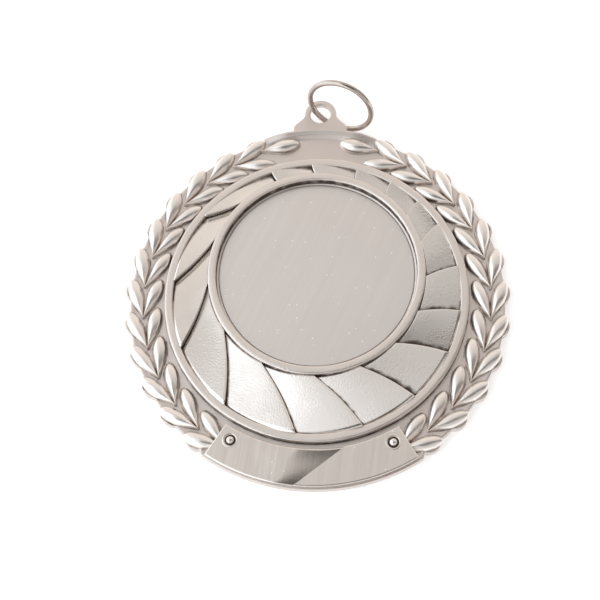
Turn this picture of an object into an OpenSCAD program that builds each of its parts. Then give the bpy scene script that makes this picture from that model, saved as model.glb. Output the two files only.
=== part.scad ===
// Award medal: a cast body with a laurel wreath and a swirl of blades round an
// off-centre recess, a brushed centre disc, an engraving plate held by two
// ball-headed pins, and a split ring in the hanging loop. It lies on its back:
// +Z is out of the face, +Y points at the loop, and the origin is the middle
// of the flat back.

/* [Body] */
// Diameter across the outer leaves
medal_d = 50; // [46:0.5:62]
// Thickness of the cast base
base_t = 1.5; // [1.2:0.1:2]
// Width of the band that holds the wreath
wreath_w = 5.3; // [4.8:0.1:7]

/* [Centre recess] */
// Inside diameter of the rim
recess_d = 26.2; // [20:0.1:28]
// Width of the rim
rim_w = 1.1; // [0.8:0.1:2]
// Height of the rim above the back
rim_top = 2.6; // [2.3:0.1:3.4]
// Thickness of the base under the recess
recess_floor = 1; // [0.6:0.1:1.1]
// Thickness of the centre disc
disc_t = 0.4; // [0.3:0.05:0.6]
// Thickness of the adhesive behind the disc
adhesive_t = 0.1; // [0.05:0.05:0.15]
// Gap round the centre disc
disc_clearance = 0.08; // [0.05:0.01:0.3]
// How much smaller the disc's seat is than the recess, on the radius
seat_step = 0.2; // [0.2:0.05:0.4]

/* [Swirl] */
// Width of the border ring
border_w = 1.1; // [0.8:0.1:1.6]
// Height of the border ring above the back
border_top = 2.4; // [2.1:0.1:3]
// How far the border ring sits above the middle
border_up = 0.5; // [0:0.1:0.8]
// Narrowest part of the swirl, at the top
swirl_gap = 1.2; // [0.8:0.1:3]
// Height of a blade at its raised edge
blade_high = 2.35; // [2:0.05:2.8]
// Height of a blade at its sunk edge
blade_low = 1.75; // [1.6:0.05:2]

/* [Wreath] */
// Leaf pairs on each branch
leaf_pairs = 12; // [8:1:12]
// Length of a leaf with its stalk
leaf_l = 5.5; // [4:0.1:6]
// Width of a leaf without its rim
leaf_w = 1.7; // [1.2:0.1:1.9]
// How far a leaf stands up from the base
leaf_h = 0.95; // [0.5:0.05:1.1]

/* [Loop] */
// Play of the jump ring's wire in the hole, past the width its slant takes up
ring_play = 0.57; // [0.55:0.01:1]
// Metal round the hole
loop_wall = 0.8; // [0.6:0.05:1.2]
// Thickness of the loop
loop_t = 0.9; // [0.7:0.05:1]
// Height of the underside of the loop
loop_under = 1.2; // [1.1:0.05:1.3]

/* [Jump ring] */
// Diameter of the wire
wire_d = 0.8; // [0.6:0.05:0.9]
// Inside diameter of the ring
jump_ring_d = 7.9; // [7.4:0.1:9.6]
// Gap where the ring is split
split_gap = 0.1; // [0.05:0.05:0.4]

/* [Engraving plate] */
// Thickness of the plate
plate_t = 0.5; // [0.4:0.05:0.8]
// Half of the angle that the plate covers
plate_half_angle = 32.2; // [26:0.1:36]
// How far the plate's face dips or rises at its fold
fold_step = 0.14; // [0.05:0.01:0.18]
// Gap between the border ring and the plate
plate_gap = 0.3; // [0.2:0.05:0.6]
// Base showing outside the plate
plate_margin = 0.35; // [0.2:0.05:0.8]

/* [Pins] */
// Diameter of a pin's shank
pin_d = 0.6; // [0.5:0.05:0.8]
// Diameter of a pin's ball head
pin_head_d = 1; // [0.8:0.05:1.2]
// Diameter of the sunk seat round a head
pin_seat_d = 1.4; // [1.3:0.05:1.8]
// Angle of each pin from the foot of the medal
pin_angle = 27.8; // [20:0.1:30]

/* [Hidden] */
$fn = 96;
eps = 0.01;
medal_r = medal_d / 2;

// border ring, rim and recess, from the edge inwards
border_out_r = medal_r - wreath_w;
border_in_r = border_out_r - border_w;
recess_r = recess_d / 2;
rim_out_r = recess_r + rim_w;
recess_up = border_up + border_in_r - rim_out_r - swirl_gap;
seat_r = recess_r - seat_step;
disc_r = seat_r - disc_clearance;
disc_z = recess_floor + adhesive_t;
disc_top = disc_z + disc_t;
adhesive_r = disc_r - 0.5;
bite = 0.3; // how far neighbouring shapes of the casting run into each other
chamfer = 0.15;

// where each blade starts, clockwise from the loop in degrees: the blades
// widen as they go round, and each lies further back at the rim
blade_rim = [-2, 20, 39, 56, 73, 93, 113, 134, 156, 180, 208, 235, 263, 289, 314, 337];
blade_border = [-3, 16, 31, 45, 58, 78, 97, 115, 137, 160, 186, 216, 246, 275, 306, 340];
blade_count = len(blade_rim);

// wreath: stalks branch from a stem that runs up each side
stem_r = medal_r - 2.5;
stalk_w = 0.2;
end_leaf_l = leaf_l - 0.3;
end_lean = -7;
end_rise = 0.5; // how far outside the stem line an end leaf starts
first_joint = 152;
joint_pitch = 10.97;
outer_lean = 13;
inner_lean = 27;
leaf_steps = 6;
scallop_r = 1.6;
scallop_lead = 9.7; // angle from a joint to the widest part of its outer leaf
valley_r = medal_r - 0.75;

// the jump ring stands tilted with its lowest point just above the level of the
// back; its wire crosses the loop between low_reach and high_reach from its middle
wire_r = wire_d / 2;
jump_r = jump_ring_d / 2 + wire_r;
jump_heading = -108.1;
jump_lean = 10.5;
split_at = -94;
rest_gap = 0.02;
jump_z = rest_gap + wire_r + jump_r * cos(jump_lean);
function ring_reach(r, z) = r * sin(acos((jump_z - z) / (r * cos(jump_lean))));
low_reach = ring_reach(jump_r - wire_r, loop_under);
high_reach = ring_reach(jump_r + wire_r, loop_under + loop_t);

// loop
loop_hole_d = high_reach - low_reach + ring_play;
hole_y = medal_r + 2.2;
loop_top = loop_under + loop_t;
loop_r = loop_hole_d / 2 + loop_wall;
flare = 1.55; // how much wider the loop is at its root, each side
flare_start = 0.9; // how far below the hole's centre the flare starts
root_overlap = 1; // how far the loop's root runs into the disc
lip_w = 0.9;
lip_half_angle = 16;
plain_half_angle = lip_half_angle + 3; // where the plain edge at the loop ends
edge_r = medal_r - 0.1;

// engraving plate: it rests on a raised seat, and its pins pass through it
plate_out_r = medal_r - plate_margin;
plate_in_r = border_out_r + plate_gap;
plate_z = border_top - plate_t;
seat_margin = 0.2;
pin_inset = 1.5; // from the plate's inner edge
pin_r = plate_in_r + pin_inset;
pin_seat_depth = 0.2;
pin_seat_z = border_top - pin_seat_depth;
pin_clearance = 0.06; // between a shank and the hole through the plate
pin_hole_d = pin_d + pin_clearance;
pin_depth = 1.2; // how far a shank reaches into the casting
head_rise = 0.1; // middle of a ball head above its seat
fold_top = [4.2, -medal_r + 5.4];
fold_foot = [-1.1, -medal_r + 1.2];
fold_run = 6; // length over which the fold fades out

// jump ring: its wire runs through the middle of the loop's thickness
ring_shift = 0.1; // how far the wire hangs off the hole's centre, sideways
ring_side = (jump_z - loop_under - loop_t / 2) * tan(jump_lean) - ring_shift;
jump_centre = [0, hole_y, jump_z]
    + (low_reach + high_reach) / 2 * [-sin(jump_heading), cos(jump_heading), 0]
    - ring_side * [cos(jump_heading), sin(jump_heading), 0];

// point at a clockwise angle from +Y on a circle centred on the Y axis
function clock(r, angle, up = 0) = [r * sin(angle), up + r * cos(angle)];

function rim_point(k) =
    clock(rim_out_r, blade_rim[k % blade_count], recess_up);
function border_point(k) =
    clock(border_in_r, blade_border[k % blade_count], border_up);

// half width of a leaf at a share t of its length: pointed stalk, round tip
function leaf_half(t) = leaf_w / 2 * pow(max(sin(180 * pow(t, 1.4)), 0), 0.65);

// pie slice centred on a clockwise angle
module slice(r, middle, half)
    polygon([[0, 0], for (i = [-3:3]) clock(r, middle + half * i / 3)]);

// flat ring with chamfered shoulders, standing on z = from
module raised_ring(in_r, out_r, from, top)
    rotate_extrude()
        polygon([
            [in_r, from], [out_r, from], [out_r, top - chamfer],
            [out_r - chamfer, top], [in_r + chamfer, top], [in_r, top - chamfer],
        ]);

// outline of a leaf lying along +X, with its stalk at the origin
module leaf(l = leaf_l)
    polygon([
        for (i = [0:leaf_steps]) [l * i / leaf_steps, leaf_half(i / leaf_steps) + stalk_w / 2],
        for (i = [leaf_steps:-1:0]) [l * i / leaf_steps, -leaf_half(i / leaf_steps) - stalk_w / 2],
    ]);

// outline of one branch's leaves, on the +X side
module branch()
    for (k = [0:leaf_pairs])
        rotate(joint_pitch * k - first_joint)
            translate([0, stem_r]) {
                if (k < leaf_pairs) {
                    rotate(180 - outer_lean) leaf();
                    rotate(180 + inner_lean) leaf();
                } else
                    translate([0, end_rise]) rotate(180 - end_lean) leaf(end_leaf_l);
            }

// edge of the casting: scalloped by the outer leaves, plain at loop and foot
module outline() {
    circle(valley_r);
    for (side = [0, 1], k = [0:leaf_pairs - 1])
        mirror([side, 0])
            translate(clock(medal_r - scallop_r, first_joint - scallop_lead - joint_pitch * k))
                circle(scallop_r);
    intersection() {
        circle(edge_r);
        union() {
            slice(medal_r * 1.2, 0, plain_half_angle);
            slice(medal_r * 1.2, 180, plate_half_angle + 2);
        }
    }
}

// one blade: its raised edge steps up from the blade before it
module blade(k) {
    start_in = rim_point(k);
    start_out = border_point(k);
    end_in = rim_point(k + 1);
    end_out = border_point(k + 1);
    start_dir = (start_out - start_in) / norm(start_out - start_in);
    end_dir = (end_out - end_in) / norm(end_out - end_in);
    sweep = blade_border[(k + 1) % blade_count] - blade_border[k];
    middle = blade_border[k] + (sweep < 0 ? sweep + 360 : sweep) / 2;
    start_mid = (start_in + start_out) / 2;
    fall = (end_in + end_out) / 2 - start_mid;
    intersection() {
        translate([0, 0, base_t - bite])
            linear_extrude(blade_high - base_t + bite)
                intersection() {
                    translate([0, border_up]) circle(border_in_r + bite);
                    polygon([
                        start_in - bite * start_dir,
                        start_out + bite * start_dir,
                        clock(border_in_r + 2, middle, border_up),
                        end_out + bite * end_dir,
                        end_in - bite * end_dir,
                    ]);
                }
        translate([start_mid.x, start_mid.y, blade_high])
            rotate(atan2(fall.y, fall.x))
                rotate([0, atan((blade_high - blade_low) / norm(fall)), 0])
                    translate([-medal_r, -medal_r, -medal_r])
                        cube([medal_d, medal_d, medal_r]);
    }
}

module loop() {
    root_y = edge_r * cos(lip_half_angle / 2);
    translate([0, 0, loop_under])
        linear_extrude(loop_t)
            difference() {
                union() {
                    translate([0, hole_y]) circle(loop_r);
                    polygon([
                        [-loop_r, hole_y], [loop_r, hole_y],
                        [loop_r + flare / 4, hole_y - flare_start],
                        [loop_r + flare, root_y + root_overlap / 3],
                        [loop_r + flare, root_y - root_overlap],
                        [-loop_r - flare, root_y - root_overlap],
                        [-loop_r - flare, root_y + root_overlap / 3],
                        [-loop_r - flare / 4, hole_y - flare_start],
                    ]);
                    intersection() {
                        circle(edge_r);
                        slice(medal_r * 1.2, 0, lip_half_angle);
                    }
                }
                circle(edge_r - lip_w);
            }
}

// arc with straight radial ends that the plate is cut from
module plate_arc(in_r, out_r, half)
    difference() {
        intersection() {
            circle(out_r);
            slice(medal_r * 1.4, 180, half);
        }
        circle(in_r);
    }

module pin_holes(d, from, to)
    for (side = [-1, 1])
        translate([side * pin_r * sin(pin_angle), -pin_r * cos(pin_angle), from])
            cylinder(d = d, h = to - from);

module medal_body() {
    color([0.80, 0.77, 0.745])
        difference() {
            union() {
                linear_extrude(base_t) outline();
                translate([0, 0, base_t - bite])
                    linear_extrude(leaf_h + bite)
                        for (side = [0, 1])
                            mirror([side, 0]) branch();
                translate([0, border_up, 0])
                    raised_ring(border_in_r, border_out_r, base_t - bite, border_top);
                for (k = [0:blade_count - 1])
                    blade(k);
                translate([0, recess_up, 0])
                    raised_ring(recess_r, rim_out_r, base_t - bite, rim_top);
                loop();
                translate([0, 0, base_t - bite])
                    linear_extrude(plate_z - base_t + bite)
                        plate_arc(plate_in_r + seat_margin, plate_out_r - seat_margin,
                                  plate_half_angle - 1);
            }
            // the wreath starts at the plate's ends, so nothing stands under the plate
            translate([0, 0, plate_z])
                linear_extrude(medal_r)
                    plate_arc(plate_in_r - seat_margin, medal_r * 1.1, plate_half_angle + 0.3);
            translate([0, recess_up, recess_floor])
                cylinder(r = seat_r, h = medal_r);
            translate([0, recess_up, disc_top])
                cylinder(r = recess_r, h = medal_r);
            translate([0, hole_y, 0])
                cylinder(d = loop_hole_d, h = medal_r);
            translate([0, hole_y, loop_top - chamfer])
                cylinder(r1 = loop_hole_d / 2, r2 = loop_hole_d / 2 + chamfer + eps, h = chamfer + eps);
            pin_holes(pin_d, plate_z - pin_depth, plate_z + eps);
        }
}

module centre_disc() {
    color([0.78, 0.75, 0.73])
        translate([0, recess_up, disc_z])
            cylinder(r = disc_r, h = disc_t);
}

module disc_adhesive() {
    color([0.85, 0.84, 0.80])
        translate([0, recess_up, recess_floor])
            cylinder(r = adhesive_r, h = adhesive_t);
}

// the face dips towards the fold on its -X side and stands proud on its +X side
module engraving_plate() {
    fold = fold_top - fold_foot;
    fold_heading = atan2(fold.y, fold.x) - 90;
    fade = atan(fold_step / fold_run);
    color([0.82, 0.79, 0.76])
        difference() {
            union() {
                translate([0, 0, plate_z])
                    linear_extrude(plate_t)
                        plate_arc(plate_in_r, plate_out_r, plate_half_angle);
                intersection() {
                    translate([0, 0, plate_z])
                        linear_extrude(plate_t + fold_step)
                            plate_arc(plate_in_r, plate_out_r, plate_half_angle);
                    translate([fold_foot.x, fold_foot.y, border_top + fold_step])
                        rotate(fold_heading)
                            rotate([0, fade, 0])
                                translate([0, -medal_r, -plate_t])
                                    cube([medal_r, medal_d, plate_t]);
                }
            }
            translate([fold_foot.x, fold_foot.y, border_top - fold_step])
                rotate(fold_heading)
                    rotate([0, fade, 0])
                        translate([-medal_r, -medal_r, 0])
                            cube([medal_r, medal_d, plate_t]);
            pin_holes(pin_hole_d, 0, medal_r);
            pin_holes(pin_seat_d, pin_seat_z, medal_r);
        }
}

// ball head on a shank: the head's flat rests on the floor of the plate's seat
module pin(side)
    translate([side * pin_r * sin(pin_angle), -pin_r * cos(pin_angle), 0]) {
        translate([0, 0, plate_z - pin_depth])
            cylinder(d = pin_d, h = pin_seat_z - plate_z + pin_depth + eps);
        translate([0, 0, pin_seat_z])
            intersection() {
                cylinder(d = pin_head_d * 2, h = pin_head_d);
                translate([0, 0, head_rise]) sphere(d = pin_head_d);
            }
    }

module left_pin() {
    color([0.86, 0.83, 0.80]) pin(-1);
}

module right_pin() {
    color([0.86, 0.83, 0.80]) pin(1);
}

module jump_ring() {
    gap_angle = 360 * split_gap / (2 * PI * jump_r);
    color([0.62, 0.58, 0.54])
        translate(jump_centre)
            rotate([0, 90 - jump_lean, jump_heading])
                rotate(split_at + gap_angle / 2)
                    rotate_extrude(angle = 360 - gap_angle)
                        translate([jump_r, 0]) circle(d = wire_d);
}

medal_body();
centre_disc();
disc_adhesive();
engraving_plate();
left_pin();
right_pin();
jump_ring();
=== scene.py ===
# An award medal lying on its back: a cast and plated body with a laurel wreath and a
# swirl of blades, a brushed centre disc, a folded engraving plate on two ball-headed
# pins, and a split ring standing in the hanging loop.
import math

import bmesh
import bpy
import numpy as np
from mathutils import Matrix, Vector


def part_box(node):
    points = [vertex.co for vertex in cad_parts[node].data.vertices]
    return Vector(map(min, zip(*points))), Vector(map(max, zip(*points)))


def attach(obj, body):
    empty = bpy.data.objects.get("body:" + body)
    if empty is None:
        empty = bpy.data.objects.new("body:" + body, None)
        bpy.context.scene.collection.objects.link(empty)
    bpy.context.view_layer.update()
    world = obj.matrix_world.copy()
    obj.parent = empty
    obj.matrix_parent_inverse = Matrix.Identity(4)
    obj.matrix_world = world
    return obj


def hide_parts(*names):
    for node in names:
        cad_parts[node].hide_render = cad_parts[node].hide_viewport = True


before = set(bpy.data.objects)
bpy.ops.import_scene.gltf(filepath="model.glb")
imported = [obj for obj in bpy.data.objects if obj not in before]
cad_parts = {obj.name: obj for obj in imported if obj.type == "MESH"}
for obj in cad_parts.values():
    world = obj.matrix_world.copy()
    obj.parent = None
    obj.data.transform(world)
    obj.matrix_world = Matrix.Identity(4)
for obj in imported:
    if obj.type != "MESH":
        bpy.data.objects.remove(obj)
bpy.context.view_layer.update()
MM = 0.001


# ---- Camera ----------------------------------------------------------------------
# It looks steeply down on the face from below and a little to the right, close
# enough for the nearer edge of the medal to look larger than the farther one.
CAMERA_ELEVATION = 68.1
CAMERA_HEADING = 11.35
CAMERA_ROLL = -10.3
CAMERA_DISTANCE = 149.3 * MM
CAMERA_TARGET = Vector((-2.14, 0.47, 0.0)) * MM
FOCAL_LENGTH = 68.5

elevation, heading, roll = np.radians([CAMERA_ELEVATION, CAMERA_HEADING, CAMERA_ROLL])
to_camera = Vector(
    (
        np.cos(elevation) * np.sin(heading),
        -np.cos(elevation) * np.cos(heading),
        np.sin(elevation),
    )
)
level_right = Vector((np.cos(heading), np.sin(heading), 0.0))
level_up = to_camera.cross(level_right)
camera_right = level_right * np.cos(roll) + level_up * np.sin(roll)
camera_up = level_up * np.cos(roll) - level_right * np.sin(roll)
camera_turn = Matrix((camera_right, camera_up, to_camera)).transposed().to_4x4()

camera = bpy.data.objects.new("camera", bpy.data.cameras.new("camera"))
camera.matrix_world = (
    Matrix.Translation(CAMERA_TARGET + to_camera * CAMERA_DISTANCE) @ camera_turn
)
camera.data.lens = FOCAL_LENGTH
camera.data.clip_start = 1 * MM
camera.data.clip_end = 10.0
bpy.context.scene.collection.objects.link(camera)
bpy.context.scene.camera = camera


# ---- Cast body: base and field -----------------------------------------------------
# The base is zinc, die cast in one piece with everything that stands on it, then
# plated. Its edge is scalloped by the outer leaves, and its field is blasted matt.
def node_group(name, inputs, outputs):
    """An empty shader node group with these sockets, its input node and its output node."""
    group = bpy.data.node_groups.new(name, "ShaderNodeTree")
    for label, kind in inputs:
        group.interface.new_socket(label, in_out="INPUT", socket_type=kind)
    for label, kind in outputs:
        group.interface.new_socket(label, in_out="OUTPUT", socket_type=kind)
    return group, group.nodes.new("NodeGroupInput"), group.nodes.new("NodeGroupOutput")


def link(tree, value, socket):
    """Feeds a socket from another socket, or sets it to a number or a colour."""
    if hasattr(value, "is_output"):
        tree.links.new(value, socket)
    else:
        socket.default_value = value


def maths(tree, operation, *values, clamp=False):
    """The output of a Math node over sockets or numbers."""
    node = tree.nodes.new("ShaderNodeMath")
    node.operation = operation
    node.use_clamp = clamp
    for i, value in enumerate(values):
        link(tree, value, node.inputs[i])
    return node.outputs[0]


def ramp(tree, value, low, high, to_low=0.0, to_high=1.0):
    """A smooth step of a value between two limits, put onto a new range."""
    node = tree.nodes.new("ShaderNodeMapRange")
    node.interpolation_type = "SMOOTHSTEP"
    for i, number in enumerate((value, low, high, to_low, to_high)):
        link(tree, number, node.inputs[i])
    return node.outputs[0]


def noise(tree, vector, scale, detail=3.0, stretch=(1, 1, 1), turn=0.0):
    """Noise over a vector in metres, which may be turned about Z and stretched first."""
    mapping = tree.nodes.new("ShaderNodeMapping")
    mapping.inputs["Rotation"].default_value = (0, 0, math.radians(turn))
    mapping.inputs["Scale"].default_value = stretch
    link(tree, vector, mapping.inputs["Vector"])
    node = tree.nodes.new("ShaderNodeTexNoise")
    node.inputs["Scale"].default_value = scale
    node.inputs["Detail"].default_value = detail
    link(tree, mapping.outputs[0], node.inputs["Vector"])
    return node.outputs["Fac"]


def blend_colour(tree, factor, first, second):
    """A colour between two colours."""
    node = tree.nodes.new("ShaderNodeMix")
    node.data_type = "RGBA"
    link(tree, factor, node.inputs["Factor"])
    link(tree, first, node.inputs["A"])
    link(tree, second, node.inputs["B"])
    return node.outputs["Result"]


def new_finish(name):
    """A new material, its tree, its shader node and the piece's own coordinates."""
    material = bpy.data.materials.new(name)
    material.use_nodes = True
    tree = material.node_tree
    vector = tree.nodes.new("ShaderNodeTexCoord").outputs["Object"]
    return material, tree, tree.nodes["Principled BSDF"], vector


def emboss(tree, shader, height, depth):
    """Puts a height into the shader's normal as a bump of this depth."""
    bump = tree.nodes.new("ShaderNodeBump")
    bump.inputs["Distance"].default_value = depth
    link(tree, height, bump.inputs["Height"])
    link(tree, bump.outputs[0], shader.inputs["Normal"])


VECTOR, NUMBER, COLOUR = "NodeSocketVector", "NodeSocketFloat", "NodeSocketColor"

# wear: smudges that change the gloss, and hairline scratches in three directions
group, source, target = node_group(
    "handling_marks",
    [("Vector", VECTOR), ("Roughness", NUMBER), ("Smudges", NUMBER), ("Scratches", NUMBER)],
    [("Roughness", NUMBER), ("Height", NUMBER)],
)
vector = source.outputs["Vector"]
smudge = ramp(group, noise(group, vector, 190.0, 4.0), 0.35, 0.7, -0.5, 0.5)
lines = 0.0
for turn in (24.0, 71.0, 128.0):
    fine = noise(group, vector, 300.0, 2.0, (1.0, 26.0, 1.0), turn)
    lines = maths(group, "ADD", lines, ramp(group, fine, 0.69, 0.76))
lines = maths(group, "MULTIPLY", lines, source.outputs["Scratches"])
changed = maths(
    group,
    "ADD",
    source.outputs["Roughness"],
    maths(group, "MULTIPLY", smudge, source.outputs["Smudges"]),
)
changed = maths(group, "ADD", changed, maths(group, "MULTIPLY", lines, 0.12))
group.links.new(changed, target.inputs["Roughness"])
group.links.new(maths(group, "MULTIPLY", lines, -1.0), target.inputs["Height"])
handling_marks = group

# painted shade: a dark brown mixed into the colour where the crevice value is high, in
# corners and grooves where shade falls, broken up by noise; it also makes the surface rougher
# and less metallic there
group, source, target = node_group(
    "painted_shade",
    [("Vector", VECTOR), ("Color", COLOUR), ("Roughness", NUMBER), ("Crevice", NUMBER)],
    [("Color", COLOUR), ("Roughness", NUMBER), ("Metallic", NUMBER)],
)
broken = noise(group, source.outputs["Vector"], 900.0, 3.0)
broken = ramp(group, broken, 0.25, 0.75, -0.22, 0.22)
amount = maths(group, "ADD", source.outputs["Crevice"], broken)
amount = ramp(group, amount, 0.3, 0.95)
dark = (0.07, 0.043, 0.03, 1.0)
tone = blend_colour(group, amount, source.outputs["Color"], dark)
group.links.new(tone, target.inputs["Color"])
rougher = maths(
    group, "ADD", source.outputs["Roughness"], maths(group, "MULTIPLY", amount, 0.3)
)
group.links.new(rougher, target.inputs["Roughness"])
bare = maths(group, "SUBTRACT", 1.0, maths(group, "MULTIPLY", amount, 0.75))
group.links.new(bare, target.inputs["Metallic"])
painted_shade = group


def place_group(tree, group, values):
    """A group node with its inputs fed."""
    node = tree.nodes.new("ShaderNodeGroup")
    node.node_tree = group
    for name, value in values.items():
        link(tree, value, node.inputs[name])
    return node


def new_metal(name, colour, roughness, smudges, scratches, grain, grain_scale, crevices):
    """Plated metal with wear, surface grain in the bump, and painted shade where it has
    corners.
    """
    material, tree, shader, vector = new_finish(name)
    marks = place_group(
        tree,
        handling_marks,
        {
            "Vector": vector,
            "Roughness": roughness,
            "Smudges": smudges,
            "Scratches": scratches,
        },
    )
    tone = blend_colour(
        tree,
        noise(tree, vector, 260.0, 3.0),
        [c * 0.965 for c in colour] + [1.0],
        [min(c * 1.035, 1.0) for c in colour] + [1.0],
    )
    rough, metallic = marks.outputs["Roughness"], 1.0
    # painted shade: the crevice attribute, scaled by crevices, darkens the colour
    if crevices:
        attribute = tree.nodes.new("ShaderNodeAttribute")
        attribute.attribute_name = "crevice"
        depth = maths(tree, "MULTIPLY", attribute.outputs["Fac"], crevices)
        shaded = place_group(
            tree,
            painted_shade,
            {"Vector": vector, "Color": tone, "Roughness": rough, "Crevice": depth},
        )
        tone, rough = shaded.outputs["Color"], shaded.outputs["Roughness"]
        metallic = shaded.outputs["Metallic"]
    link(tree, tone, shader.inputs["Base Color"])
    link(tree, rough, shader.inputs["Roughness"])
    link(tree, metallic, shader.inputs["Metallic"])
    texture = maths(tree, "MULTIPLY", noise(tree, vector, grain_scale, 4.0), grain)
    scores = maths(tree, "MULTIPLY", marks.outputs["Height"], 0.4)
    emboss(tree, shader, maths(tree, "ADD", texture, scores), 0.02 * MM)
    return material


blasted_silver = new_metal(
    "blasted_silver",
    (0.71, 0.635, 0.59),
    roughness=0.42,
    smudges=0.08,
    scratches=0.1,
    grain=1.6,
    grain_scale=5200.0,
    crevices=1.0,
)

MEDAL_R = 24.99
BASE_T = 1.5
VALLEY_R = 24.25
PLAIN_EDGE_R = 24.88
LEAF_PAIRS = 12
FIRST_JOINT = 152.0
JOINT_PITCH = 10.97
STEM_R = 22.5
OUTER_LEAN = 13.0
INNER_LEAN = 27.0
END_LEAN = -7.0
LEAF_LENGTH = 5.85
END_LEAF_LENGTH = 5.5
END_RISE = 0.5
SCALLOP_R = 1.6
SCALLOP_LEAD = 9.7
LIP_HALF_ANGLE = 16.0
LIP_TOP = 2.1
PLATE_HALF_ANGLE = 32.2
BORDER_UP = 0.5
BORDER_IN_R = 18.6
BORDER_OUT_R = 19.7
RECESS_UP = 3.7
RECESS_R = 13.1
SEAT_R = 12.84
RECESS_FLOOR = 1.0
AROUND = 1440


def smooth(low, high, x):
    """0 below low, 1 above high, and an S curve between."""
    t = np.clip((np.asarray(x, float) - low) / (high - low), 0, 1)
    return t * t * (3 - 2 * t)


def clock(radius, degrees, up=0.0):
    """A point at a clockwise angle from +Y on a circle whose centre is on the Y axis."""
    angle = np.radians(degrees)
    return np.stack(
        np.broadcast_arrays(radius * np.sin(angle), up + radius * np.cos(angle)), -1
    )


def face_outwards(mesh):
    """Turns every face of a closed mesh outwards and shades it smooth."""
    turned = bmesh.new()
    turned.from_mesh(mesh)
    bmesh.ops.recalc_face_normals(turned, faces=turned.faces)
    turned.to_mesh(mesh)
    turned.free()
    mesh.shade_smooth()


def new_piece(name, points, faces, crevice=None):
    """A smooth closed mesh from points in millimetres, with a crevice value of painted shade
    per point.
    """
    mesh = bpy.data.meshes.new(name)
    mesh.from_pydata((np.asarray(points) * MM).tolist(), [], [list(f) for f in faces])
    shade = np.zeros(len(points)) if crevice is None else np.asarray(crevice)
    layer = mesh.attributes.new("crevice", "FLOAT", "POINT")
    layer.data.foreach_set("value", shade.astype(np.float32))
    face_outwards(mesh)
    piece = bpy.data.objects.new(name, mesh)
    bpy.context.scene.collection.objects.link(piece)
    return piece


def fit(piece, material, body, node):
    """Gives a piece its finish, and puts it in the place of a CAD node."""
    piece.data.materials.clear()
    piece.data.materials.append(material)
    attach(piece, body)
    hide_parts(node)


def grid_faces(rows, columns, wrap=False):
    """Quads over points stored row by row; wrap joins the last column to the first."""
    faces = []
    for i in range(rows - 1):
        for j in range(columns if wrap else columns - 1):
            a, b = i * columns + j, i * columns + (j + 1) % columns
            faces.append((a, b, b + columns, a + columns))
    return faces


def leaf_half_width(share):
    """Half width in millimetres at a share of a leaf's length: thin stalk, round tip."""
    share = np.clip(share, 0, 1)
    swell = np.sin(np.pi * share**1.6).clip(0) ** (0.82 - 0.32 * share)
    return 0.09 * (1 - share) + 0.93 * swell


def leaf_places():
    """Where each leaf of the right branch starts, its heading and its length."""
    places = []
    for k in range(LEAF_PAIRS + 1):
        joint = FIRST_JOINT - JOINT_PITCH * k
        start = clock(STEM_R, joint)
        if k == LEAF_PAIRS:
            start = clock(STEM_R + END_RISE, joint)
            places.append((start, 180 - joint - END_LEAN, END_LEAF_LENGTH))
        else:
            places.append((start, 180 - joint - OUTER_LEAN, LEAF_LENGTH))
            places.append((start, 180 - joint + INNER_LEAN, LEAF_LENGTH))
    return places


def outline_radius(degrees):
    """The casting's outer radius at a clockwise angle: scallops, plain at loop and foot."""
    turn = (degrees + 180) % 360 - 180
    radius = np.full(degrees.shape, VALLEY_R)
    for k in range(LEAF_PAIRS):
        for side in (-1, 1):
            middle = side * (FIRST_JOINT - SCALLOP_LEAD - JOINT_PITCH * k)
            away = np.radians((degrees - middle + 180) % 360 - 180)
            centre_r = MEDAL_R - SCALLOP_R
            inside = SCALLOP_R**2 - (centre_r * np.sin(away)) ** 2
            reach = centre_r * np.cos(away) + np.sqrt(inside.clip(0))
            near = (inside > 0) & (np.abs(away) < 0.3)
            radius = np.where(near, np.maximum(radius, reach), radius)
    plain = 1 - smooth(LIP_HALF_ANGLE + 1, LIP_HALF_ANGLE + 6, np.abs(turn))
    plain += smooth(
        180 - PLATE_HALF_ANGLE - 3, 180 - PLATE_HALF_ANGLE - 1, np.abs(turn)
    )
    return np.maximum(radius, VALLEY_R + (PLAIN_EDGE_R - VALLEY_R) * plain)


def leaf_gap(points):
    """Distance from each point to the nearest leaf's outline, 0 inside a leaf."""
    gap = np.full(len(points), 9.0)
    for start, heading_deg, length in leaf_places():
        along = np.radians(heading_deg)
        for side in (1, -1):
            x = points[:, 0] * side - start[0]
            y = points[:, 1] - start[1]
            s = x * np.cos(along) + y * np.sin(along)
            t = np.abs(y * np.cos(along) - x * np.sin(along))
            sideways = (t - leaf_half_width(s / length)).clip(0)
            endways = np.maximum(-s, s - length).clip(0)
            gap = np.minimum(gap, np.hypot(sideways, endways))
    return gap


angles = np.arange(AROUND) * 360.0 / AROUND
edge = clock(outline_radius(angles), angles)
edge_normal = clock(1.0, angles)
recess_edge = clock(RECESS_R, angles, RECESS_UP)
seat_edge = clock(SEAT_R, angles, RECESS_UP)
turn = np.abs((angles + 180) % 360 - 180)
lip = 1 - smooth(LIP_HALF_ANGLE - 6, LIP_HALF_ANGLE + 4, turn)

# from the back round the lower corner, then over the crest of the edge
LOWER_CORNER = ((3.0, 0.0), (0.45, 0.0), (0.2, 0.03), (0.06, 0.12), (0.0, 0.28), (0.0, 1.0))
UPPER_CORNER = ((0.0, 0.3), (0.05, 0.1), (0.16, 0.02), (0.3, 0.0), (0.45, 0.05), (0.7, 0.16))
FIELD_ROWS = 34

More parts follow.
